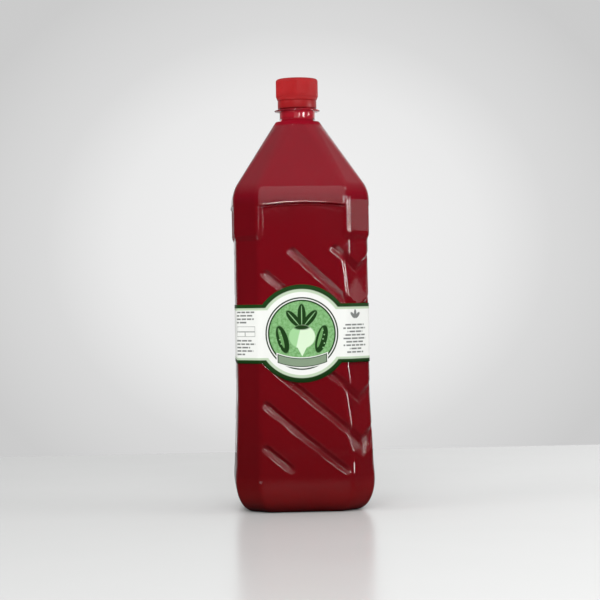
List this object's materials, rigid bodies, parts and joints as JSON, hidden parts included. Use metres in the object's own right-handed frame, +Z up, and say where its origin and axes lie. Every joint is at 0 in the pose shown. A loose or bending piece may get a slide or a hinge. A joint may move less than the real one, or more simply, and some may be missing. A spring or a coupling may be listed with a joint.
{
  "type": "pickle juice bottle",
  "caption": "Large square clear plastic bottle of deep red pickle juice with slanting grooves, a round neck, a knurled screw cap and a wrap-round label with a round medallion.",
  "frame": {"origin": "middle of the flat the bottle stands on", "axes": "+Z up along the bottle's axis to the cap; the label's medallion faces -Y; +X is to the right seen from the front, and the grooves meet as a V on the corner between +X and -Y"},
  "size_m": [0.0988, 0.0988, 0.3095],
  "materials": {
    "clear_plastic": "clear, glossy, faintly wavy from blow moulding",
    "juice": "deep red, nearly opaque liquid",
    "label_film": "printed film in white and greens, satin",
    "cap_plastic": "red, semi-gloss, finely knurled"
  },
  "bodies": {
    "root": {"bottle": "clear_plastic", "pickle_juice": "juice", "label": "label_film", "cap": "cap_plastic"}
  },
  "joints": []
}
